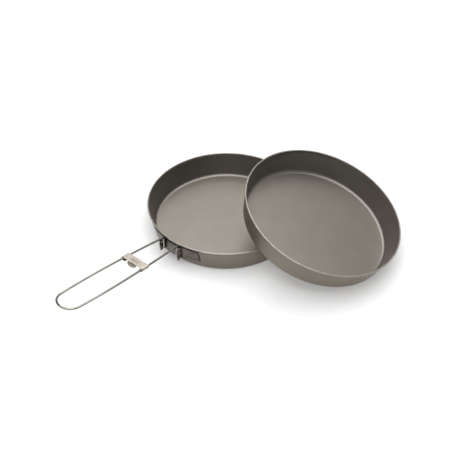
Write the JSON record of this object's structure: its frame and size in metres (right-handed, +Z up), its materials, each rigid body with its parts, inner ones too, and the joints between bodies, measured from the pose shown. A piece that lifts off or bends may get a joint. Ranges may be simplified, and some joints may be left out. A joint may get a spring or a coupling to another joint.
{
  "type": "camp frying pan set",
  "caption": "Shallow metal camp frying pans of one size, one with a folding wire handle and sliding lock, the other leaning on its rim.",
  "frame": {"origin": "centre of the handled pan's flat base, on the surface it stands on", "axes": "+Z up out of the handled pan, its wire handle points along -X, and the second pan leans on its rim on the -Y side"},
  "size_m": [0.3722, 0.2855, 0.0809],
  "materials": {
    "pan_titanium": "warm grey titanium with a fine satin, sandblasted finish",
    "bracket_metal": "thin sheet metal, brushed along its length, grey",
    "handle_wire": "round wire, smooth and bright",
    "slider_metal": "pale satin sheet metal"
  },
  "bodies": {
    "standing_pan": {"handled_pan": "pan_titanium", "handle_bracket": "bracket_metal"},
    "handle": {"wire_handle": "handle_wire"},
    "slider": {"lock_slider": "slider_metal"},
    "second_pan": {"leaning_pan": "pan_titanium"}
  },
  "joints": [
    {"name": "handle_fold", "type": "hinge", "parent": "standing_pan", "child": "handle", "pos_m": [-0.0918, 0, 0.0139], "axis": [0, -1, 0], "range_deg": [0, 180]},
    {"name": "lock_slide", "type": "slide", "parent": "handle", "child": "slider", "axis": [-0.9899, 0, 0.1418], "range_m": [-0.04, 0.004]},
    {"name": "second_pan_lift", "type": "slide", "parent": "standing_pan", "child": "second_pan", "axis": [0, 0, 1], "range_m": [0, 0.12]}
  ]
}
